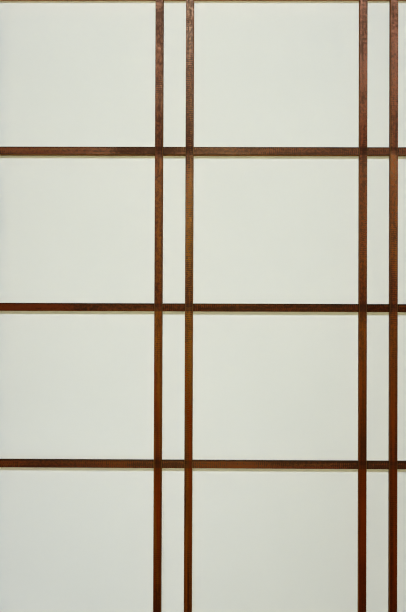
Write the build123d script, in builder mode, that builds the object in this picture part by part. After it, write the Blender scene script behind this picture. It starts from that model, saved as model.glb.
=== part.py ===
from build123d import *
import os

# A pair of shoji sliding screens in their own two-track frame.
# Seen from the room, that is looking along +Y, the right leaf runs in the front
# track and the left leaf in the rear track. Each leaf is a lattice of thin bars
# (vertical bars set in close pairs, single horizontal bars) tenoned into two
# stiles and two rails, with one sheet of paper glued to the back.
# Frame: +X right, +Y away from the room, +Z up, millimetres.
# Origin: middle of the sill's underside.

# ---------------------------------------------------------------- driving sizes
# lattice
BAR_W = 9.0          # face width of a lattice bar
BAR_D = 15.0         # depth of a lattice bar, front to back
BAR_EDGE = 0.5       # small chamfer on the two front edges of a bar
CELL_H = 170.0       # clear height of a cell
CELL_W = 189.5       # clear width of a wide cell
PAIR_GAP = 26.0      # clear width between the two bars of a pair
ROWS = 10            # cells, bottom to top
PAIRS = 3            # pairs of vertical bars in a leaf
TENON_W = 5.0        # stub tenon of a lattice bar: across its face
TENON_D = 9.0        # front to back
TENON_L = 8.0        # length
MORTISE_L = 9.0      # depth of the blind mortise that takes it

# leaf
STILE_W = 33.0
LEAF_D = 30.0        # thickness of stiles and rails
BAR_SETBACK = 12.0   # from the front of the leaf to the front of the lattice
TOP_RAIL_H = 51.0    # 36 in sight and the 15 tongue
BOTTOM_RAIL_H = 54.0
TOP_TONGUE_H = 15.0
BOTTOM_TONGUE_H = 4.5
TONGUE_D = 19.0      # thickness of the tongues that run in the grooves
RAIL_TENON_D = 10.0
REBATE_W = 6.5       # shallow step at the back of the leaf that takes the paper's edge
REBATE_D = 3.0
PAPER_T = 0.25
PAPER_LAP = 6.0      # how far the paper runs on to the stiles and rails
LEAF_EDGE = 0.8      # chamfer on the front edges of stiles and rails

# pulls let into the outer stile of each leaf, front and back
PULL_W = 14.0
PULL_H = 76.0
PULL_DEEP = 7.0
PULL_WALL = 1.2
PULL_FIT = 0.1       # room around the cup in its pocket
PULL_RIM = 2.0       # how far the rim laps on to the stile
PULL_RIM_T = 0.8
PULL_ROW = 5         # the row of cells, from the bottom, that the pull is beside

# opening frame
FRAME_D = 105.0
JAMB_T = 30.0
SILL_H = 45.0
HEAD_H = 45.0
GROOVE_W = 21.0
RIDGE_W = 12.0       # between the two grooves
SILL_GROOVE_H = 3.0
HEAD_GROOVE_H = 15.0
HEAD_ENGAGE = 9.0    # how far a leaf's top tongue stands in the head's groove
SLIP_W = 12.0        # hardwood strip inlaid in each sill groove
SLIP_H = 4.0
SLIP_PROUD = 0.6
FRAME_EDGE = 1.5
JAMB_TENON = (12.0, 30.0, 15.0)
SCREW_Y = 36.0       # corner screws, each side of the jamb's tenon
SCREW_R = 2.1
SCREW_HEAD_R = 4.4
SINK_R = 5.0         # mouth of the countersinks, so that the heads sit just below the face
SCREW_LEN = 78.0
FIX_R = 2.25         # holes through each jamb for fixing it to a post
FIX_HEAD_R = 4.5
FIX_Y = 42.0
FIX_PITCH = 520.0
FIX_COUNT = 4

# ---------------------------------------------------------------- derived sizes
PITCH_Z = CELL_H + BAR_W
PAIR_PITCH = CELL_W + 2 * BAR_W + PAIR_GAP
LATTICE_W = (PAIRS + 1) * CELL_W + PAIRS * (2 * BAR_W + PAIR_GAP)
LATTICE_H = ROWS * CELL_H + (ROWS - 1) * BAR_W
LEAF_W = LATTICE_W + 2 * STILE_W
LEAF_H = LATTICE_H + TOP_RAIL_H + BOTTOM_RAIL_H
OPENING_W = 2 * LEAF_W - STILE_W            # closed leaves lap by one stile
FRAME_W = OPENING_W + 2 * JAMB_T
TRACK_Y = (GROOVE_W + RIDGE_W) / 2          # groove centres at -TRACK_Y and +TRACK_Y
LEAF_Z0 = SILL_H - SILL_GROOVE_H + SLIP_PROUD
LEAF_Z1 = LEAF_Z0 + LEAF_H
HEAD_Z0 = LEAF_Z1 - HEAD_ENGAGE
HEAD_Z1 = HEAD_Z0 + HEAD_H
JAMB_H = HEAD_Z0 - SILL_H
LATTICE_Z0 = LEAF_Z0 + BOTTOM_RAIL_H
LATTICE_Z1 = LATTICE_Z0 + LATTICE_H
BAR_Z = [LATTICE_Z0 + (i + 1) * CELL_H + i * BAR_W + BAR_W / 2 for i in range(ROWS - 1)]
# the centre lines of the vertical bars, from the lattice's left edge
BAR_X = []
for p in range(PAIRS):
    first = (p + 1) * CELL_W + p * (2 * BAR_W + PAIR_GAP) + BAR_W / 2
    BAR_X += [first, first + BAR_W + PAIR_GAP]
PULL_Z = LATTICE_Z0 + (PULL_ROW - 0.5) * CELL_H + (PULL_ROW - 1) * BAR_W

OUT = "parts"
os.makedirs(OUT, exist_ok=True)


def save(part, label):
    part.label = label
    export_step(part, os.path.join(OUT, label + ".step"))


# ================================================================ opening frame
MIDDLE = (Align.CENTER, Align.CENTER, Align.MIN)
CORNERS = [(sx * (OPENING_W + JAMB_T) / 2, sy * SCREW_Y) for sx in (-1, 1) for sy in (-1, 1)]
JAMB_X = [sx * (OPENING_W + JAMB_T) / 2 for sx in (-1, 1)]

# Head: two deep grooves that let a leaf be lifted off the sill and swung out.
with BuildPart() as head_track:
    with BuildSketch(Plane.XY.offset(HEAD_Z0)):
        Rectangle(FRAME_W, FRAME_D)
    extrude(amount=HEAD_H)
    chamfer(head_track.edges().filter_by(Axis.X).group_by(Axis.Z)[0], FRAME_EDGE)
    with BuildSketch(Plane.XY.offset(HEAD_Z0)):
        with Locations((0, -TRACK_Y), (0, TRACK_Y)):
            Rectangle(OPENING_W, GROOVE_W)
    extrude(amount=HEAD_GROOVE_H, mode=Mode.SUBTRACT)
    with BuildSketch(Plane.XY.offset(HEAD_Z0)):
        with Locations(*[(x, 0) for x in JAMB_X]):
            Rectangle(JAMB_TENON[0], JAMB_TENON[1])
    extrude(amount=JAMB_TENON[2], mode=Mode.SUBTRACT)
    with Locations(*[(x, y, HEAD_Z1) for x, y in CORNERS]):
        CounterSinkHole(radius=SCREW_R + 0.1, counter_sink_radius=SINK_R, depth=HEAD_H)
save(head_track.part, "head_track")

# Sill: two shallow grooves, with a slot along each groove's floor for its slip.
with BuildPart() as sill_track:
    with BuildSketch():
        Rectangle(FRAME_W, FRAME_D)
    extrude(amount=SILL_H)
    chamfer(sill_track.edges().filter_by(Axis.X).group_by(Axis.Z)[-1], FRAME_EDGE)
    with BuildSketch(Plane.XY.offset(SILL_H - SILL_GROOVE_H)):
        with Locations((0, -TRACK_Y), (0, TRACK_Y)):
            Rectangle(OPENING_W, GROOVE_W)
    extrude(amount=SILL_GROOVE_H, mode=Mode.SUBTRACT)
    with BuildSketch(Plane.XY.offset(SILL_H - SILL_GROOVE_H + SLIP_PROUD - SLIP_H)):
        with Locations((0, -TRACK_Y), (0, TRACK_Y)):
            Rectangle(OPENING_W, SLIP_W)
    extrude(amount=SLIP_H - SLIP_PROUD, mode=Mode.SUBTRACT)
    with BuildSketch(Plane.XY.offset(SILL_H)):
        with Locations(*[(x, 0) for x in JAMB_X]):
            Rectangle(JAMB_TENON[0], JAMB_TENON[1])
    extrude(amount=-JAMB_TENON[2], mode=Mode.SUBTRACT)
    with Locations(*[Location((x, y, 0), (180, 0, 0)) for x, y in CORNERS]):
        CounterSinkHole(radius=SCREW_R + 0.1, counter_sink_radius=SINK_R, depth=SILL_H)
save(sill_track.part, "sill_track")

# Slips: hardwood strips that carry the leaves.
for name, y in (("slip_front", -TRACK_Y), ("slip_rear", TRACK_Y)):
    with BuildPart() as slip:
        with BuildSketch(Plane.XY.offset(SILL_H - SILL_GROOVE_H + SLIP_PROUD - SLIP_H)):
            with Locations((0, y)):
                Rectangle(OPENING_W, SLIP_W)
        extrude(amount=SLIP_H)
        chamfer(slip.edges().filter_by(Axis.X).group_by(Axis.Z)[-1], 0.4)
    save(slip.part, name)

# Jambs: stub tenons into head and sill, and countersunk holes for fixing to a post.
for name, side in (("jamb_left", -1), ("jamb_right", 1)):
    xc = side * (OPENING_W + JAMB_T) / 2
    with BuildPart() as jamb:
        with BuildSketch(Plane.XY.offset(SILL_H)):
            with Locations((xc, 0)):
                Rectangle(JAMB_T, FRAME_D)
        extrude(amount=JAMB_H)
        inner = jamb.edges().filter_by(Axis.Z).group_by(Axis.X)[0 if side > 0 else -1]
        chamfer(inner, FRAME_EDGE)
        with BuildSketch(Plane.XY.offset(SILL_H - JAMB_TENON[2])):
            with Locations((xc, 0)):
                Rectangle(JAMB_TENON[0], JAMB_TENON[1])
        extrude(amount=JAMB_H + 2 * JAMB_TENON[2])
        # pilot holes in the end grain for the corner screws
        depth = SCREW_LEN - HEAD_H + 2
        with Locations(*[(xc, y, SILL_H + depth / 2) for y in (-SCREW_Y, SCREW_Y)],
                       *[(xc, y, HEAD_Z0 - depth / 2) for y in (-SCREW_Y, SCREW_Y)]):
            Cylinder(SCREW_R + 0.1, depth, mode=Mode.SUBTRACT)
        # fixing holes, countersunk on the side that faces the opening
        turn = (0, -90, 0) if side > 0 else (0, 90, 0)
        zs = [SILL_H + JAMB_H / 2 + (i - (FIX_COUNT - 1) / 2) * FIX_PITCH for i in range(FIX_COUNT)]
        with Locations(*[Location((side * OPENING_W / 2, FIX_Y, z), turn) for z in zs]):
            CounterSinkHole(radius=FIX_R, counter_sink_radius=FIX_HEAD_R, depth=JAMB_T)
    save(jamb.part, name)

# Corner screws: countersunk wood screws with a cross recess, thread left plain.
with BuildPart() as corner_screw:
    with BuildSketch(Plane.XZ):
        with BuildLine():
            Polyline((0, 0), (SCREW_HEAD_R, 0), (SCREW_HEAD_R, -0.3), (SCREW_R, -2.95),
                     (SCREW_R, -SCREW_LEN + 8), (0.3, -SCREW_LEN), (0, -SCREW_LEN), (0, 0))
        make_face()
    revolve(axis=Axis.Z)
    Box(5.0, 1.1, 3.2, mode=Mode.SUBTRACT)
    Box(1.1, 5.0, 3.2, mode=Mode.SUBTRACT)
with BuildPart() as frame_screws:
    with Locations(*[Location((x, y, HEAD_Z1 - 0.2)) for x, y in CORNERS],
                   *[Location((x, y, 0.2), (180, 0, 0)) for x, y in CORNERS]):
        add(corner_screw.part)
save(frame_screws.part, "frame_screws")


# ================================================================ sliding leaves
def leaf(prefix, x0, y0, pull_side):
    """One leaf with its left edge at x0 and its front at y0; pull_side is -1 or +1."""
    lx0, lx1 = x0 + STILE_W, x0 + STILE_W + LATTICE_W
    yb = y0 + BAR_SETBACK                      # front of the lattice
    ym = yb + BAR_D / 2
    yp = yb + BAR_D                            # back of the lattice, where the paper lies
    yc = y0 + LEAF_D / 2
    bars_x = [lx0 + x for x in BAR_X]
    shoulder = (LEAF_D - TONGUE_D) / 2
    top_tenon = (LEAF_Z1 - TOP_RAIL_H + 6, LEAF_Z1 - TOP_TONGUE_H - 6)
    bottom_tenon = (LEAF_Z0 + 10, LEAF_Z0 + BOTTOM_RAIL_H - 8)

    # ---- stiles
    for name, side in (("stile_left", -1), ("stile_right", 1)):
        xc = (x0 + STILE_W / 2) if side < 0 else (x0 + LEAF_W - STILE_W / 2)
        xin = lx0 if side < 0 else lx1         # the edge that faces the lattice
        with BuildPart() as stile:
            with BuildSketch(Plane.XY.offset(LEAF_Z0)) as section:
                with Locations((xc, yc)):
                    Rectangle(STILE_W, LEAF_D)
                chamfer(section.vertices().group_by(Axis.Y)[0], LEAF_EDGE)
            extrude(amount=LEAF_H)
            # tongues at both ends
            for y in (y0 + shoulder / 2, y0 + LEAF_D - shoulder / 2):
                with Locations((xc, y, LEAF_Z1 - TOP_TONGUE_H)):
                    Box(STILE_W, shoulder, TOP_TONGUE_H, align=MIDDLE, mode=Mode.SUBTRACT)
                with Locations((xc, y, LEAF_Z0)):
                    Box(STILE_W, shoulder, BOTTOM_TONGUE_H, align=MIDDLE, mode=Mode.SUBTRACT)
            # step for the paper's edge
            with Locations((xin + side * REBATE_W / 2, y0 + LEAF_D - REBATE_D / 2, LATTICE_Z0 - REBATE_W)):
                Box(REBATE_W, REBATE_D, LATTICE_H + 2 * REBATE_W, align=MIDDLE, mode=Mode.SUBTRACT)
            # through mortises for the rails, blind ones for the horizontal bars
            for z0, z1 in (top_tenon, bottom_tenon):
                with Locations((xc, yc, z0)):
                    Box(STILE_W, RAIL_TENON_D, z1 - z0, align=MIDDLE, mode=Mode.SUBTRACT)
            with Locations(*[(xin + side * MORTISE_L / 2, ym, z) for z in BAR_Z]):
                Box(MORTISE_L, TENON_D, TENON_W, mode=Mode.SUBTRACT)
            # pockets for the pulls
            if side == pull_side:
                for y, turn in ((y0, (90, 0, 0)), (y0 + LEAF_D, (-90, 0, 0))):
                    with BuildSketch(Plane(Location((xc, y, PULL_Z), turn))):
                        RectangleRounded(PULL_W + 2 * PULL_FIT, PULL_H + 2 * PULL_FIT, 3.0 + PULL_FIT)
                    extrude(amount=-PULL_DEEP, mode=Mode.SUBTRACT)
        save(stile.part, prefix + name)

    # ---- rails
    xm = (lx0 + lx1) / 2
    with BuildPart() as rail_top:
        with BuildSketch(Plane.YZ.offset(lx0)) as section:
            with Locations((yc, LEAF_Z1 - TOP_RAIL_H / 2)):
                Rectangle(LEAF_D, TOP_RAIL_H)
        extrude(amount=LATTICE_W)
        chamfer(rail_top.edges().filter_by(Axis.X).group_by(Axis.Y)[0].sort_by(Axis.Z)[0], LEAF_EDGE)
        for y in (y0 + shoulder / 2, y0 + LEAF_D - shoulder / 2):
            with Locations((xm, y, LEAF_Z1 - TOP_TONGUE_H)):
                Box(LATTICE_W, shoulder, TOP_TONGUE_H, align=MIDDLE, mode=Mode.SUBTRACT)
        with Locations((xm, y0 + LEAF_D - REBATE_D / 2, LATTICE_Z1)):
            Box(LATTICE_W, REBATE_D, REBATE_W, align=MIDDLE, mode=Mode.SUBTRACT)
        with Locations((xm, yc, top_tenon[0])):
            Box(LATTICE_W + 2 * STILE_W, RAIL_TENON_D, top_tenon[1] - top_tenon[0], align=MIDDLE)
        with Locations(*[(x, ym, LATTICE_Z1) for x in bars_x]):
            Box(TENON_W, TENON_D, MORTISE_L, align=MIDDLE, mode=Mode.SUBTRACT)
    save(rail_top.part, prefix + "rail_top")

    with BuildPart() as rail_bottom:
        with BuildSketch(Plane.YZ.offset(lx0)) as section:
            with Locations((yc, LEAF_Z0 + BOTTOM_RAIL_H / 2)):
                Rectangle(LEAF_D, BOTTOM_RAIL_H)
        extrude(amount=LATTICE_W)
        chamfer(rail_bottom.edges().filter_by(Axis.X).group_by(Axis.Y)[0].sort_by(Axis.Z)[-1], LEAF_EDGE)
        for y in (y0 + shoulder / 2, y0 + LEAF_D - shoulder / 2):
            with Locations((xm, y, LEAF_Z0)):
                Box(LATTICE_W, shoulder, BOTTOM_TONGUE_H, align=MIDDLE, mode=Mode.SUBTRACT)
        with Locations((xm, y0 + LEAF_D - REBATE_D / 2, LATTICE_Z0 - REBATE_W)):
            Box(LATTICE_W, REBATE_D, REBATE_W, align=MIDDLE, mode=Mode.SUBTRACT)
        with Locations((xm, yc, bottom_tenon[0])):
            Box(LATTICE_W + 2 * STILE_W, RAIL_TENON_D, bottom_tenon[1] - bottom_tenon[0], align=MIDDLE)
        with Locations(*[(x, ym, LATTICE_Z0 - MORTISE_L) for x in bars_x]):
            Box(TENON_W, TENON_D, MORTISE_L, align=MIDDLE, mode=Mode.SUBTRACT)
    save(rail_bottom.part, prefix + "rail_bottom")

    # ---- vertical bars: halved at the back, so that they run unbroken in front
    for i, x in enumerate(bars_x):
        with BuildPart() as bar_v:
            with BuildSketch(Plane.XY.offset(LATTICE_Z0)) as section:
                with Locations((x, ym)):
                    Rectangle(BAR_W, BAR_D)
                chamfer(section.vertices().group_by(Axis.Y)[0], BAR_EDGE)
            extrude(amount=LATTICE_H)
            with Locations(*[(x, ym + BAR_D / 4, z) for z in BAR_Z]):
                Box(BAR_W, BAR_D / 2, BAR_W, mode=Mode.SUBTRACT)
            with Locations((x, ym, LATTICE_Z0 - TENON_L), (x, ym, LATTICE_Z1)):
                Box(TENON_W, TENON_D, TENON_L, align=MIDDLE)
        save(bar_v.part, f"{prefix}bar_vertical_{i + 1}")

    # ---- horizontal bars: halved at the front
    for i, z in enumerate(BAR_Z):
        with BuildPart() as bar_h:
            with BuildSketch(Plane.YZ.offset(lx0)) as section:
                with Locations((ym, z)):
                    Rectangle(BAR_D, BAR_W)
                chamfer(section.vertices().group_by(Axis.X)[0], BAR_EDGE)
            extrude(amount=LATTICE_W)
            with Locations(*[(x, ym - BAR_D / 4, z) for x in bars_x]):
                Box(BAR_W, BAR_D / 2, BAR_W, mode=Mode.SUBTRACT)
            with Locations((lx0 - TENON_L / 2, ym, z), (lx1 + TENON_L / 2, ym, z)):
                Box(TENON_L, TENON_D, TENON_W)
        save(bar_h.part, f"{prefix}bar_horizontal_{i + 1}")

    # ---- paper: one sheet, glued to the backs of the bars and into the step
    with BuildPart() as paper:
        with BuildSketch(Plane.XZ.offset(-yp)):
            with Locations((xm, (LATTICE_Z0 + LATTICE_Z1) / 2)):
                Rectangle(LATTICE_W + 2 * PAPER_LAP, LATTICE_H + 2 * PAPER_LAP)
        extrude(amount=-PAPER_T)
    save(paper.part, prefix + "paper")

    # ---- pulls: a pressed cup with a thin rim
    xc = (x0 + STILE_W / 2) if pull_side < 0 else (x0 + LEAF_W - STILE_W / 2)
    for name, y, turn in (("pull_front", y0, (90, 0, 0)), ("pull_back", y0 + LEAF_D, (-90, 0, 0))):
        face = Plane(Location((xc, y, PULL_Z), turn))
        with BuildPart() as pull:
            with BuildSketch(face.offset(-PULL_DEEP)):
                RectangleRounded(PULL_W, PULL_H, 3.0)
            extrude(amount=PULL_DEEP)
            with BuildSketch(face):
                RectangleRounded(PULL_W + 2 * PULL_RIM, PULL_H + 2 * PULL_RIM, 3.0 + PULL_RIM)
            extrude(amount=PULL_RIM_T)
            fillet(pull.faces().sort_by(Axis.Y)[0 if name == "pull_front" else -1].edges(), 0.5)
            with BuildSketch(face.offset(PULL_RIM_T)):
                RectangleRounded(PULL_W - 2 * PULL_WALL, PULL_H - 2 * PULL_WALL, 3.0 - PULL_WALL)
            extrude(amount=-(PULL_DEEP + PULL_RIM_T - PULL_WALL), mode=Mode.SUBTRACT)
        save(pull.part, prefix + name)


leaf("right_", OPENING_W / 2 - LEAF_W, -TRACK_Y - LEAF_D / 2, 1)
leaf("left_", -OPENING_W / 2, TRACK_Y - LEAF_D / 2, -1)

print("leaf", LEAF_W, "x", LEAF_H, "opening", OPENING_W, "x", JAMB_H, "frame", FRAME_W, "x", FRAME_D, "x", HEAD_Z1)
print("travel", OPENING_W - LEAF_W, "bars z", BAR_Z)
print("right leaf bars x", [OPENING_W / 2 - LEAF_W + STILE_W + x for x in BAR_X], "pull z", PULL_Z)
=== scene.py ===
import bpy
import math
import random
from mathutils import Matrix, Vector


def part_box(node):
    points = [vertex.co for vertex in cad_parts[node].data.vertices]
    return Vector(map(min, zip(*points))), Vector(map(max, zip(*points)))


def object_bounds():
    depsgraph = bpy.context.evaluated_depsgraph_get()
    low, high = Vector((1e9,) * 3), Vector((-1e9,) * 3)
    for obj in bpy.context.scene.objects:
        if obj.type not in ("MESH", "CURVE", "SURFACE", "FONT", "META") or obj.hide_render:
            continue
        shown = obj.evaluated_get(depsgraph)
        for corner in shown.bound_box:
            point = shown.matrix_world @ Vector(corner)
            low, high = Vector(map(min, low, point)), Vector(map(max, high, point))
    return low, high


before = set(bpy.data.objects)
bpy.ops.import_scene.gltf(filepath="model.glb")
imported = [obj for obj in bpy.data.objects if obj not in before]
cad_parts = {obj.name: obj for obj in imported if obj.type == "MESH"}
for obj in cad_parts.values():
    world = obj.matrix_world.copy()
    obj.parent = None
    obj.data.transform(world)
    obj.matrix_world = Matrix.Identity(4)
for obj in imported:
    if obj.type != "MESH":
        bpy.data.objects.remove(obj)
CAD_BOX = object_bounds()
scene = bpy.context.scene

# ------------------------------------------------------------------ sizes read from the frame
# The front leaf's lattice is what the camera sees.
V1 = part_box("right_bar_vertical_1")
H7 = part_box("right_bar_horizontal_7")
LATTICE_Y = V1[0][1]                       # front of the lattice
BAR_W = V1[1][0] - V1[0][0]
BAR_Z = [
    (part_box("right_bar_horizontal_%d" % (i + 1))[0][2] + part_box("right_bar_horizontal_%d" % (i + 1))[1][2]) / 2
    for i in range(9)
]
PITCH = BAR_Z[1] - BAR_Z[0]
VIEW_X = (V1[0][0] + V1[1][0]) / 2 + 0.0921      # where the camera stands
VIEW_Z = (H7[0][2] + H7[1][2]) / 2 - 0.0348


# ------------------------------------------------------------------ camera
cam_data = bpy.data.cameras.new("camera")
cam = bpy.data.objects.new("camera", cam_data)
scene.collection.objects.link(cam)
scene.camera = cam
cam_data.sensor_width = 36.0
cam_data.lens = 110.54
yaw, pitch, roll = math.radians(-1.0946), math.radians(0.9730), math.radians(0.2112)
fwd = Vector((math.sin(yaw) * math.cos(pitch), math.cos(yaw) * math.cos(pitch), math.sin(pitch)))
right = Vector((math.cos(yaw), -math.sin(yaw), 0.0))
up = right.cross(fwd)
r2 = right * math.cos(roll) + up * math.sin(roll)
u2 = up * math.cos(roll) - right * math.sin(roll)
m = Matrix((
    (r2.x, u2.x, -fwd.x, 0),
    (r2.y, u2.y, -fwd.y, 0),
    (r2.z, u2.z, -fwd.z, 0),
    (0, 0, 0, 1),
))
m.translation = Vector((VIEW_X, LATTICE_Y - 2.144, VIEW_Z))
cam.matrix_world = m
cam_data.clip_start, cam_data.clip_end = 0.05, 200.0

scene.view_settings.view_transform = "Standard"
scene.view_settings.look = "None"
scene.view_settings.exposure = 0.0
scene.view_settings.gamma = 1.0
scene.cycles.filter_width = 1.1


# ------------------------------------------------------------------ node helpers
class Tree:
    """Small shorthand for building a node material."""

    def __init__(self, name):
        self.mat = bpy.data.materials.new(name)
        self.mat.use_nodes = True
        self.nt = self.mat.node_tree
        self.nt.nodes.clear()
        self.out = self.nt.nodes.new("ShaderNodeOutputMaterial")
        self.count = 0

    def add(self, kind, **props):
        n = self.nt.nodes.new(kind)
        for k, v in props.items():
            setattr(n, k, v)
        n.location = (-200 * (self.count % 12), -180 * (self.count // 12))
        self.count += 1
        return n

    def link(self, a, b):
        self.nt.links.new(a, b)

    def put(self, socket, value):
        if isinstance(value, bpy.types.NodeSocket):
            self.link(value, socket)
        else:
            socket.default_value = value

    def math(self, op, a, b=None, c=None, clamp=False):
        n = self.add("ShaderNodeMath", operation=op, use_clamp=clamp)
        self.put(n.inputs[0], a)
        if b is not None:
            self.put(n.inputs[1], b)
        if c is not None:
            self.put(n.inputs[2], c)
        return n.outputs[0]

    def vec(self, op, a, b=None):
        n = self.add("ShaderNodeVectorMath", operation=op)
        self.put(n.inputs[0], a)
        if b is not None:
            self.put(n.inputs[1], b)
        return n.outputs[0]

    def xyz(self, x, y, z):
        n = self.add("ShaderNodeCombineXYZ")
        for s, v in zip(n.inputs, (x, y, z)):
            self.put(s, v)
        return n.outputs[0]

    def split(self, v):
        n = self.add("ShaderNodeSeparateXYZ")
        self.link(v, n.inputs[0])
        return n.outputs

    def noise(self, v, scale=1.0, detail=2.0, rough=0.5, dist=0.0, dims="3D"):
        n = self.add("ShaderNodeTexNoise", noise_dimensions=dims)
        if dims == "1D":
            self.link(v, n.inputs["W"])
        else:
            self.link(v, n.inputs["Vector"])
        n.inputs["Scale"].default_value = scale
        n.inputs["Detail"].default_value = detail
        n.inputs["Roughness"].default_value = rough
        n.inputs["Distortion"].default_value = dist
        return n.outputs["Fac"] if "Fac" in n.outputs else n.outputs[0]

    def ramp(self, value, lo, hi, a=0.0, b=1.0, smooth=True):
        """value from lo..hi to a..b, clamped."""
        n = self.add("ShaderNodeMapRange", interpolation_type="SMOOTHSTEP" if smooth else "LINEAR")
        self.put(n.inputs["Value"], value)
        n.inputs["From Min"].default_value = lo
        n.inputs["From Max"].default_value = hi
        n.inputs["To Min"].default_value = a
        n.inputs["To Max"].default_value = b
        return n.outputs[0]

    def mix(self, fac, a, b, mode="MIX"):
        n = self.add("ShaderNodeMix", data_type="RGBA", blend_type=mode)
        self.put(n.inputs[0], fac)
        self.put(n.inputs[6], a)
        self.put(n.inputs[7], b)
        return n.outputs[2]

    def bump(self, height, strength, distance, normal=None):
        n = self.add("ShaderNodeBump")
        n.inputs["Strength"].default_value = strength
        n.inputs["Distance"].default_value = distance
        self.link(height, n.inputs["Height"])
        if normal is not None:
            self.link(normal, n.inputs["Normal"])
        return n.outputs["Normal"]


def rgb(r, g, b):
    return (r, g, b, 1.0)


# ------------------------------------------------------------------ wood
def wood(name, axis, centre, half, seed, rows=None, ups=None, deep=1.0, gold=0.2, gloss=0.5, ribs=0.5, patches=(), tint=(1, 1, 1), line=(0.2, 0.2),
         aniso=None, sides=None, palette=((0.046, 0.0040, 0.0001), (0.188, 0.0178, 0.0005), (0.196, 0.0405, 0.0020))):
    """Stained satin wood with the grain along axis ('X' or 'Z').

    centre, half: middle and half size of the face across the grain, in metres.
    rows: (first, pitch) of the crossbars that an upright passes in front of. The colour is darker on the crossing,
    painted shade, and darker and duller above it, lighter and glossier below it.
    ups: (middle, half width) of the uprights in front of a crossbar, with a dark seam at their edges.
    deep: more than 1 is a lighter stain. gold: share of the yellower streaks. gloss: level of the sheen.
    ribs: how much of the length shows the plane's cross ribs.
    patches: (start, end, dull, stain, side) along the grain. Above 0 is duller and darker, below 0 glossier and
    lighter. side is 0 for the whole width, or -1 or 1 for the part left of (below) or right of (above) the middle.
    tint: colour of the sheen. line: how dark the line stands along the left (lower) and the right (upper) edge.
    sides: colour of the two narrow faces, left (lower) and right (upper), matt: painted light and shade, a warm light
    colour on a face lit by the paper and a dark one on a face in shade.
    palette: dark, red and yellow stain.
    """
    rnd = random.Random(seed)
    t = Tree(name)
    coord = t.add("ShaderNodeTexCoord").outputs["Object"]
    x, y, z = t.split(coord)
    if axis == "Z":
        u, g = t.math("SUBTRACT", x, centre), z
    else:
        u, g = t.math("SUBTRACT", z, centre), x
    d = y
    off = [rnd.uniform(-50, 50) for _ in range(8)]

    def at(su, sd, sg, k):
        """A point of the grain's own space, scaled across, in depth and along."""
        return t.xyz(
            t.math("MULTIPLY_ADD", u, su, off[k % 8]),
            t.math("MULTIPLY_ADD", d, sd, off[(k + 1) % 8]),
            t.math("MULTIPLY_ADD", g, sg, off[(k + 2) % 8]),
        )

    def mid(v, k):
        """A noise value spread about 0, times k."""
        return t.math("MULTIPLY", t.math("SUBTRACT", v, 0.5), k)

    fine = t.noise(at(1300, 1300, 22, 0), 1.0, 3.0, 0.6)          # fibres
    broad = t.noise(at(330, 330, 7, 1), 1.0, 2.0, 0.5)            # growth bands
    patch = t.noise(at(60, 60, 21, 2), 1.0, 3.0, 0.55)            # cloudy stain along the bar
    speck = t.noise(at(430, 430, 330, 3), 1.0, 2.0, 0.65)         # short flecks
    polish = t.noise(at(90, 60, 38, 6), 1.0, 2.0, 0.5)            # rubbed and dull places
    # cross ribs left by the plane
    warp = t.noise(at(190, 60, 30, 4), 1.0, 1.0, 0.5)
    phase = t.math("MULTIPLY_ADD", g, 2 * math.pi / 0.00237, t.math("MULTIPLY", warp, 7.0))
    ribmask = t.ramp(t.noise(at(60, 25, 17, 5), 1.0, 1.0, 0.5), 0.62 - 0.3 * ribs, 0.76 - 0.3 * ribs)
    rib = t.math("MULTIPLY", t.math("SINE", phase), ribmask)
    if rows:
        # an upright is smoother low down, with long streaks in place of the ribs and flecks
        calm = t.ramp(g, 1.20, 1.42, 0.35, 1.0)
        rib = t.math("MULTIPLY", rib, calm)
        speck = t.math("MULTIPLY_ADD", t.math("SUBTRACT", speck, 0.5), calm, 0.5)
        broad = t.math("MULTIPLY_ADD", t.math("SUBTRACT", broad, 0.5), t.ramp(g, 1.20, 1.42, 1.45, 1.0), 0.5)

    # the long edges: a darker line just inside; the arris of an upright painted lighter and warmer, a painted glow of
    # light thrown back from the paper
    low = t.ramp(u, 0.0022 - half, 0.0008 - half, 0.0, line[0])
    high = t.ramp(u, half - 0.0022, half - 0.0008, 0.0, line[1])
    edge = t.math("MULTIPLY", t.math("ADD", low, high), t.ramp(broad, 0.30, 0.60, 0.75, 1.15))
    arris = t.ramp(t.math("ABSOLUTE", u), half - 0.0007, half - 0.0002, 0.0, 1.0 if rows else 0.0)

    # dark above each crossing, light below it
    dull = mid(polish, 1.4)
    if rows:
        first, pitch = rows
        f = t.math("MULTIPLY", t.math("FRACT", t.math("MULTIPLY_ADD", g, 1 / pitch, 10 - first / pitch)), pitch)
        above = t.ramp(f, 0.062, 0.008, 0.0, 1.0)
        below = t.ramp(f, pitch - 0.085, pitch - 0.020, 0.0, 1.0, smooth=False)
        dull = t.math("MULTIPLY_ADD", above, 1.15, dull)
        dull = t.math("MULTIPLY_ADD", below, -0.15, dull)
    stain = 0.0
    for lo, hi, amount, dye, part in patches:
        m, h = (lo + hi) / 2, abs(hi - lo) / 2
        soft = min(0.014, 0.6 * h)
        k = t.math("ABSOLUTE", t.math("SUBTRACT", t.math("ADD", g, mid(polish, 0.012)), m))
        k = t.ramp(k, h + soft, max(h - soft, 0.0), 0.0, 1.0)
        k = t.math("MULTIPLY", k, t.ramp(patch, 0.25, 0.6, 1.25, 0.75, smooth=False))
        if part:
            k = t.math("MULTIPLY", k, t.ramp(t.math("MULTIPLY", u, part), -0.0005, 0.0025))
        dull = t.math("MULTIPLY_ADD", k, amount, dull)
        stain = t.math("MULTIPLY_ADD", k, dye, stain)

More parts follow.
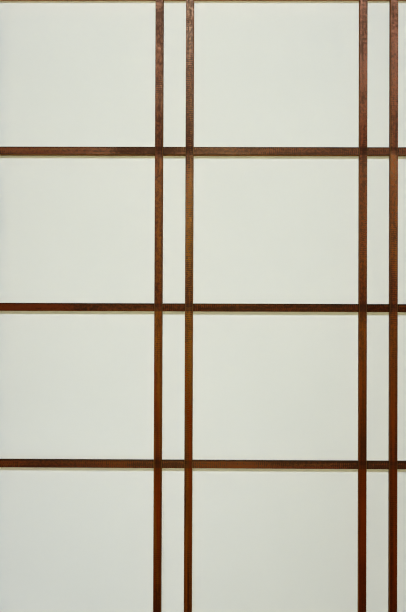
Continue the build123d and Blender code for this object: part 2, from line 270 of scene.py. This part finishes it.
    tone = t.math("ADD", mid(fine, 0.55), 0.5)
    tone = t.math("ADD", tone, mid(broad, 1.9))
    tone = t.math("ADD", tone, mid(patch, 0.9))
    tone = t.math("ADD", tone, mid(speck, 2.5))
    tone = t.math("MULTIPLY_ADD", rib, 0.38, tone)
    tone = t.math("MULTIPLY_ADD", dull, -0.18, tone)
    tone = t.math("MULTIPLY_ADD", stain, -0.5, tone) if patches else tone
    tone = t.math("ADD", tone, 0.0, clamp=True)
    dark, red, yellow = [rgb(*[c * deep for c in dye]) for dye in palette]
    hue = t.ramp(t.noise(at(210, 210, 8, 7), 1.0, 2.0, 0.5), 0.62 - 0.4 * gold, 0.80 - 0.4 * gold)
    col = t.mix(tone, dark, t.mix(hue, red, yellow))
    shade = t.math("SUBTRACT", 1.0, edge)
    if rows:
        # painted shade: the upright's colour darkened by up to 45 % across each crossing
        e = t.math("MINIMUM", f, t.math("SUBTRACT", pitch, f))
        near = t.ramp(e, BAR_W / 2 + 0.0008, BAR_W / 2 - 0.0008, 0.0, 1.0)
        shade = t.math("MULTIPLY", shade, t.math("MULTIPLY_ADD", near, -0.45, 1.0))
    for m, h in ups or ():
        k = t.math("ABSOLUTE", t.math("SUBTRACT", g, m))
        k = t.ramp(t.math("ABSOLUTE", t.math("SUBTRACT", k, h + 0.0004)), 0.0014, 0.0002)
        shade = t.math("MULTIPLY", shade, t.math("MULTIPLY_ADD", k, -0.55, 1.0))
    col = t.mix(1.0, col, t.xyz(shade, shade, shade), "MULTIPLY")
    # painted glow: the arris of an upright mixed halfway to a light warm orange
    col = t.mix(t.math("MULTIPLY", arris, 0.5), col, rgb(0.34, 0.115, 0.012))
    if sides:
        # painted light and shade: each narrow face gets one flat matt colour
        flank = t.ramp(t.math("ABSOLUTE", u), half - 0.0003, half - 0.0001, smooth=False)
        col = t.mix(flank, col, t.mix(t.ramp(u, -0.001, 0.001), rgb(*sides[0]), rgb(*sides[1])))

    p = t.add("ShaderNodeBsdfPrincipled")
    t.link(col, p.inputs["Base Color"])
    rough = t.math("MULTIPLY_ADD", dull, 0.10, 0.375)
    rough = t.math("ADD", rough, mid(speck, -0.50))
    rough = t.math("ADD", rough, mid(broad, -0.22))
    rough = t.math("ADD", rough, mid(fine, -0.10))
    rough = t.math("MULTIPLY_ADD", rib, -0.06, rough)
    if rows:
        rough = t.math("MULTIPLY_ADD", near, 0.15, rough)
    rough = t.math("MULTIPLY_ADD", arris, 0.12, rough)
    rough = t.math("MINIMUM", t.math("MAXIMUM", rough, 0.26 if sides else 0.42), 0.64)
    if sides:
        rough = t.math("MAXIMUM", rough, t.math("MULTIPLY", flank, 0.95))
    t.link(rough, p.inputs["Roughness"])
    # the sheen runs wide across the fibres and narrow along them
    p.inputs["Anisotropic"].default_value = aniso or (0.9 if axis == "Z" else 0.72)
    p.inputs["Anisotropic Rotation"].default_value = 0.25
    t.link(t.xyz(0.02, 0.03, 1.0) if axis == "Z" else t.xyz(1.0, 0.03, 0.02), p.inputs["Tangent"])
    p.inputs["Specular IOR Level"].default_value = 0.6 * gloss
    p.inputs["Specular Tint"].default_value = rgb(*tint)
    h = t.math("MULTIPLY_ADD", fine, 1.0, t.math("MULTIPLY", rib, 0.25))
    n1 = t.bump(h, 0.35, 0.0001)
    t.link(n1, p.inputs["Normal"])
    t.link(p.outputs[0], t.out.inputs["Surface"])
    return t.mat


def paper_material():
    """White fibrous paper, a little light comes through it."""
    t = Tree("washi_paper")
    coord = t.add("ShaderNodeTexCoord").outputs["Object"]
    x, y, z = t.split(coord)
    fib1 = t.noise(t.xyz(t.math("MULTIPLY", x, 90), 0.3, t.math("MULTIPLY", z, 420)), 1.0, 3.0, 0.6, 1.2)
    fib2 = t.noise(t.xyz(t.math("MULTIPLY", x, 380), 4.1, t.math("MULTIPLY", z, 110)), 1.0, 3.0, 0.6, 1.2)
    cloud = t.noise(t.xyz(t.math("MULTIPLY", x, 22), 9.7, t.math("MULTIPLY", z, 22)), 1.0, 3.0, 0.5)
    tone = t.math("ADD", t.math("MULTIPLY", fib1, 0.5), t.math("MULTIPLY", fib2, 0.5))
    tone = t.math("MULTIPLY_ADD", cloud, 0.4, t.math("MULTIPLY", tone, 0.6))
    k = t.ramp(tone, 0.3, 0.7, 0.0, 1.0, smooth=False)
    col = t.mix(k, rgb(0.862, 0.870, 0.855), rgb(0.878, 0.884, 0.870))
    through = t.mix(k, rgb(0.950, 0.910, 0.674), rgb(0.963, 0.923, 0.690))
    p = t.add("ShaderNodeBsdfPrincipled")
    t.link(col, p.inputs["Base Color"])
    p.inputs["Roughness"].default_value = 0.85
    p.inputs["Specular IOR Level"].default_value = 0.15
    tr = t.add("ShaderNodeBsdfTranslucent")
    t.link(through, tr.inputs["Color"])
    mx = t.add("ShaderNodeMixShader")
    mx.inputs[0].default_value = 0.5
    t.link(p.outputs[0], mx.inputs[1])
    t.link(tr.outputs[0], mx.inputs[2])
    n1 = t.bump(tone, 0.2, 0.0001)
    t.link(n1, p.inputs["Normal"])
    t.link(mx.outputs[0], t.out.inputs["Surface"])
    return t.mat


def simple(name, base, rough, metallic=0.0, spec=0.5):
    t = Tree(name)
    coord = t.add("ShaderNodeTexCoord").outputs["Object"]
    n = t.noise(coord, 900.0, 3.0, 0.6)
    k = t.ramp(n, 0.3, 0.7, 0.0, 1.0, smooth=False)
    col = t.mix(k, rgb(*[c * 0.85 for c in base]), rgb(*[min(1.0, c * 1.15) for c in base]))
    p = t.add("ShaderNodeBsdfPrincipled")
    t.link(col, p.inputs["Base Color"])
    p.inputs["Metallic"].default_value = metallic
    p.inputs["Specular IOR Level"].default_value = spec
    t.link(t.ramp(n, 0.3, 0.7, rough * 0.85, rough * 1.15, smooth=False), p.inputs["Roughness"])
    t.link(p.outputs[0], t.out.inputs["Surface"])
    return t.mat


def give(node, mat):
    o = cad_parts[node]
    if isinstance(o, str):
        o = bpy.data.objects[o]
    o.data.materials.clear()
    o.data.materials.append(mat)


def middle(node):
    lo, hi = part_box(node)
    return [(a + b) / 2 for a, b in zip(lo, hi)], [(b - a) / 2 for a, b in zip(lo, hi)]


seed = 11
paper = paper_material()
pull = simple("pull_black_bronze", (0.035, 0.028, 0.022), 0.38, 0.9)
screw = simple("screw_zinc", (0.62, 0.56, 0.40), 0.3, 1.0)
# the bars in the middle of the picture: deep, gold, gloss, ribs, patches along the bar, tint, line
LOOK = {
    "right_bar_vertical_1": (1.02, 0.56, 0.49, 0.50, (
        (1.690, 1.652, 0.8, 0.8, 0), (1.650, 1.605, 0.5, 0.1, 0), (1.610, 1.520, 0.0, 0.9, 1), (1.570, 1.548, 0.35, -0.3, 0),
        (1.546, 1.512, 0.7, 0.3, 0), (1.512, 1.495, 0.35, 0.0, 0), (1.455, 1.365, 0.50, 0.0, 0), (1.340, 1.322, 0.3, 0.2, 0),
        (1.198, 1.176, -0.4, -0.4, 0), (1.160, 1.100, -0.3, -0.2, 0), (1.325, 0.980, -0.1, -0.25, 0)), (1.0, 0.87, 0.86), (0.05, 0.45)),
    "right_bar_vertical_2": (1.08, 0.58, 0.53, 0.80, (
        (1.680, 1.668, 0.4, 0.0, 0), (1.666, 1.640, 0.2, 0.8, 0), (1.635, 1.605, 0.45, 0.3, 0), (1.594, 1.550, 0.40, 0.35, 0),
        (1.538, 1.500, 0.9, 0.4, 0), (1.494, 1.474, -0.75, 0.1, 0), (1.474, 1.388, -0.40, 0.5, 0), (1.310, 1.180, -0.70, -0.1, 0), (1.160, 0.980, -0.1, -0.35, 0)),
        (0.96, 1.0, 1.0), (0.15, 0.30)),
    "right_bar_vertical_3": (0.88, 0.03, 0.47, 0.35, (
        (1.690, 1.650, 0.25, 0.2, 0), (1.652, 1.632, 0.3, 1.2, -1), (1.632, 1.600, -0.60, 0.1, 0), (1.592, 1.578, 0.3, 0.1, 0),
        (1.568, 1.530, -0.1, -0.7, 0), (1.530, 1.505, 0.7, 0.2, 0), (1.355, 1.330, 0.5, 0.3, 0), (1.160, 1.020, 0.0, -0.2, 0),
        (1.092, 1.055, -0.3, -0.6, 0)),
        (1.0, 0.80, 0.76), (0.10, 0.15)),
    "right_bar_vertical_4": (0.94, 0.08, 0.50, 0.60, (
        (1.695, 1.650, 0.20, -0.3, 0), (1.535, 1.490, -1.2, 0.1, 0), (1.488, 1.440, -0.45, -0.1, 0), (1.395, 1.330, 0.6, 0.2, 0),
        (1.380, 1.160, 0.1, 0.0, 0), (1.150, 1.060, 0.2, -0.4, 0)), (1.0, 0.81, 0.76), (0.30, 0.05)),
    # painted highlight: the topmost bar's colour lightened to 1.90 for the glare on it
    "right_bar_horizontal_9": (1.90, 0.50, 0.90, 0.50, (), (1.0, 0.9, 0.8), (0.0, 0.0)),
    "right_bar_horizontal_8": (0.87, 0.36, 0.25, 0.42, (
        (0.020, 0.130, 0.20, -0.5, 0), (0.100, 0.158, -0.4, 0.0, 0), (0.160, 0.228, 1.05, 1.1, 0), (0.248, 0.325, -0.45, 0.65, 0), (0.315, 0.430, 0.15, 0.7, 0),
        (0.430, 0.540, 0.1, 0.3, 0)), (1.0, 0.96, 0.90), (0.38, 0.40)),
    "right_bar_horizontal_7": (0.72, 0.22, 0.092, 0.34, (
        (0.000, 0.110, 0.5, -1.4, 0), (0.255, 0.312, 0.05, 0.35, 0), (0.315, 0.392, 0.5, 0.7, 0), (0.392, 0.430, 0.0, 0.45, 0),
        (0.440, 0.540, 0.9, 0.0, 0)), (1.0, 1.0, 0.78), (0.10, 0.55)),
    "right_bar_horizontal_6": (0.80, 0.18, 0.172, 0.60, (
        (0.000, 0.052, 0.95, -0.65, 0), (0.052, 0.105, 1.0, -0.1, 0), (0.152, 0.178, -0.6, -0.3, 0), (0.185, 0.240, 0.3, 0.5, 0), (0.255, 0.322, -1.4, -0.1, 0), (0.340, 0.430, 0.8, 0.2, 0),
        (0.430, 0.540, 1.5, 0.9, 0)), (1.0, 1.0, 0.78), (0.0, 0.55)),
}
# painted light: the underside of the topmost bar much lighter than its front
PAINTED_UNDERSIDE = {"right_bar_horizontal_9": (0.66, 0.27, 0.11)}
# the wider members, seen from all sides
BROWN = ((0.040, 0.0095, 0.0030), (0.142, 0.0335, 0.0105), (0.158, 0.0500, 0.0170))
for side in ("right", "left"):
    ups = [middle("%s_bar_vertical_%d" % (side, i + 1)) for i in range(6)]
    for i in range(6):
        n = "%s_bar_vertical_%d" % (side, i + 1)
        c, h = ups[i]
        rnd = random.Random(seed)
        deep, gold, gloss, ribs, spots, tint, line = LOOK.get(n, (
            rnd.uniform(0.9, 1.12), rnd.uniform(0.05, 0.6), 0.48, rnd.uniform(0.3, 0.7), (), (1.0, 0.94, 0.88),
            (rnd.uniform(0.0, 0.4), rnd.uniform(0.0, 0.4))))
        # painted light on both narrow faces of an upright: a warm glow from the paper
        give(n, wood("wood_" + n, "Z", c[0], h[0], seed, rows=(BAR_Z[0], PITCH), deep=deep, gold=gold, gloss=gloss, ribs=ribs, patches=spots, tint=tint, line=line,
                     sides=((0.22, 0.066, 0.006), (0.22, 0.066, 0.006))))
        seed += 1
    for i in range(9):
        n = "%s_bar_horizontal_%d" % (side, i + 1)
        c, h = middle(n)
        rnd = random.Random(seed)
        deep, gold, gloss, ribs, spots, tint, line = LOOK.get(n, (
            rnd.uniform(0.8, 1.0), rnd.uniform(0.1, 0.6), 0.16, rnd.uniform(0.4, 0.7), (), (1.0, 0.95, 0.80),
            (rnd.uniform(0.0, 0.5), rnd.uniform(0.0, 0.5))))
        # painted light on a crossbar's underside, painted shade on its top face
        give(n, wood("wood_" + n, "X", c[2], h[2], seed, ups=[(v[0][0], v[1][0]) for v in ups], deep=deep, gold=gold, gloss=gloss, ribs=ribs, patches=spots, tint=tint, line=line,
                     sides=(PAINTED_UNDERSIDE.get(n, (0.32, 0.112, 0.010)), (0.05, 0.013, 0.001))))
        seed += 1
    for s in ("stile_left", "stile_right"):
        n = "%s_%s" % (side, s)
        c, h = middle(n)
        give(n, wood("wood_" + n, "Z", c[0], h[0], seed, gloss=0.25, ribs=0.2, aniso=0.5, palette=BROWN))
        seed += 1
    for s in ("rail_top", "rail_bottom"):
        n = "%s_%s" % (side, s)
        c, h = middle(n)
        give(n, wood("wood_" + n, "X", c[2], h[2], seed, gloss=0.20, ribs=0.2, aniso=0.5, palette=BROWN))
        seed += 1
    give(side + "_paper", paper)
    give(side + "_pull_front", pull)
    give(side + "_pull_back", pull)
for n, axis in (("head_track", "X"), ("sill_track", "X"), ("jamb_left", "Z"), ("jamb_right", "Z")):
    c, h = middle(n)
    give(n, wood("wood_" + n, axis, c[0] if axis == "Z" else c[2], h[0] if axis == "Z" else h[2], seed, gloss=0.22, ribs=0.2,
                 aniso=0.5, palette=BROWN))
    seed += 1
slip = simple("slip_oak", (0.45, 0.29, 0.15), 0.45)
give("slip_front", slip)
give("slip_rear", slip)
give("frame_screws", screw)


# ------------------------------------------------------------------ floor, world and lights
mesh = bpy.data.meshes.new("floor")
S = 40.0
mesh.from_pydata([(-S, -S, 0), (S, -S, 0), (S, S, 0), (-S, S, 0)], [], [(0, 1, 2, 3)])
floor = bpy.data.objects.new("floor", mesh)
scene.collection.objects.link(floor)
t = Tree("floor")
p = t.add("ShaderNodeBsdfPrincipled")
p.inputs["Base Color"].default_value = rgb(0.20, 0.197, 0.19)
p.inputs["Roughness"].default_value = 0.8
p.inputs["Specular IOR Level"].default_value = 0.2
p.inputs["Emission Color"].default_value = rgb(0.97, 0.98, 1.0)
p.inputs["Emission Strength"].default_value = 0.56
t.link(p.outputs[0], t.out.inputs["Surface"])
mesh.materials.append(t.mat)
# pale to look at, and it throws no light on the object
floor.visible_glossy = floor.visible_diffuse = floor.visible_transmission = False

world = bpy.data.worlds.new("world")
scene.world = world
world.use_nodes = True
bg = world.node_tree.nodes["Background"]
bg.inputs["Color"].default_value = (0.95, 0.97, 1.0, 1.0)
bg.inputs["Strength"].default_value = 0.66
# a pale backdrop only: the lamps light the object
world.cycles_visibility.glossy = False
world.cycles_visibility.diffuse = False
world.cycles_visibility.transmission = False


def area(name, loc, target, size, size_y, power, colour, glossy=True, diffuse=True):
    data = bpy.data.lights.new(name, "AREA")
    data.shape = "RECTANGLE"
    data.size, data.size_y = size, size_y
    data.energy = power
    data.color = colour
    o = bpy.data.objects.new(name, data)
    scene.collection.objects.link(o)
    o.location = loc
    o.rotation_euler = (Vector(target) - Vector(loc)).to_track_quat("-Z", "Y").to_euler()
    o.visible_camera = False
    o.visible_glossy = glossy
    o.visible_diffuse = diffuse
    return o


def spot(name, loc, target, half_x, half_z, power, colour, radius):
    """A pool of light, half_x by half_z at the target, that fades to nothing at its edge."""
    data = bpy.data.lights.new(name, "SPOT")
    far = (Vector(target) - Vector(loc)).length
    data.spot_size = 2 * math.atan(half_z / far)
    data.spot_blend = 1.0
    data.shadow_soft_size = radius
    data.energy = power
    data.color = colour
    o = bpy.data.objects.new(name, data)
    scene.collection.objects.link(o)
    o.location = loc
    o.rotation_euler = (Vector(target) - Vector(loc)).to_track_quat("-Z", "Y").to_euler()
    o.scale = (half_x / half_z, 1.0, 1.0)
    o.visible_camera = False
    o.visible_glossy = False
    return o


POOL_X = VIEW_X - 0.056
COOL = (0.757, 0.873, 1.152)
# cool lamp high up and far in front: it draws the thin shadow below each crossbar
KEY = (VIEW_X, LATTICE_Y - 3.9, 2.29)
area("key", KEY, (VIEW_X, LATTICE_Y, 1.40), 0.22, 0.22, 100.0, COOL, glossy=False)
spot("key_pool", KEY, (POOL_X, LATTICE_Y, VIEW_Z + 0.33), 0.42, 0.76, 128.5, COOL, 0.11)
# cool light thrown back from low on the left
spot("fill_pool", (-0.40, LATTICE_Y - 2.3, 0.45), (0.05, LATTICE_Y, 0.97), 0.42, 0.40, 30.0, (0.70, 0.90, 1.42), 0.20)
# daylight behind the paper
area("behind", (VIEW_X, 2.2, 1.45), (VIEW_X, 0.0, 1.40), 3.2, 2.6, 68.0, (1.0, 1.0, 1.0))
spot("behind_pool", (POOL_X, 2.2, 1.75), (POOL_X, LATTICE_Y, VIEW_Z + 0.10), 0.42, 0.76, 78.0, (1.0, 1.0, 1.0), 0.15)
# the sheen on the satin wood, from lamps one above the other
SHEEN_X = VIEW_X - 0.077
for k, (zl, wide, power, colour) in enumerate((
    (2.416, 1.3, 64.0, (1.36, 1.0, 0.70)),
    (1.915, 0.6, 19.0, (1.54, 0.90, 0.31)),
    (1.432, 0.6, 14.0, (1.88, 0.92, 0.07)),
)):
    area("sheen_%d" % (k + 1), (SHEEN_X, LATTICE_Y - 3.9, zl), (SHEEN_X, LATTICE_Y, zl), wide, 0.18, power, colour, diffuse=False)

# soft lamps in the plane of the leaves, for the sides and the top
(X0, Y0, Z0), (X1, Y1, Z1) = CAD_BOX
MID = ((X0 + X1) / 2, (Y0 + Y1) / 2, (Z0 + Z1) / 2)
area("side_left", (X0 - 2.4, MID[1] + 0.1, MID[2] + 0.5), (X0, MID[1], MID[2]), 1.0, 2.2, 30.0, (1.0, 0.98, 0.96), glossy=False)
area("side_right", (X1 + 2.4, MID[1] + 0.1, MID[2] + 0.5), (X1, MID[1], MID[2]), 1.0, 2.2, 30.0, (1.0, 0.98, 0.96), glossy=False)
area("above", (MID[0], MID[1] + 0.1, Z1 + 2.4), (MID[0], MID[1], Z1), 2.6, 1.0, 45.0, (1.0, 0.98, 0.96), glossy=False)
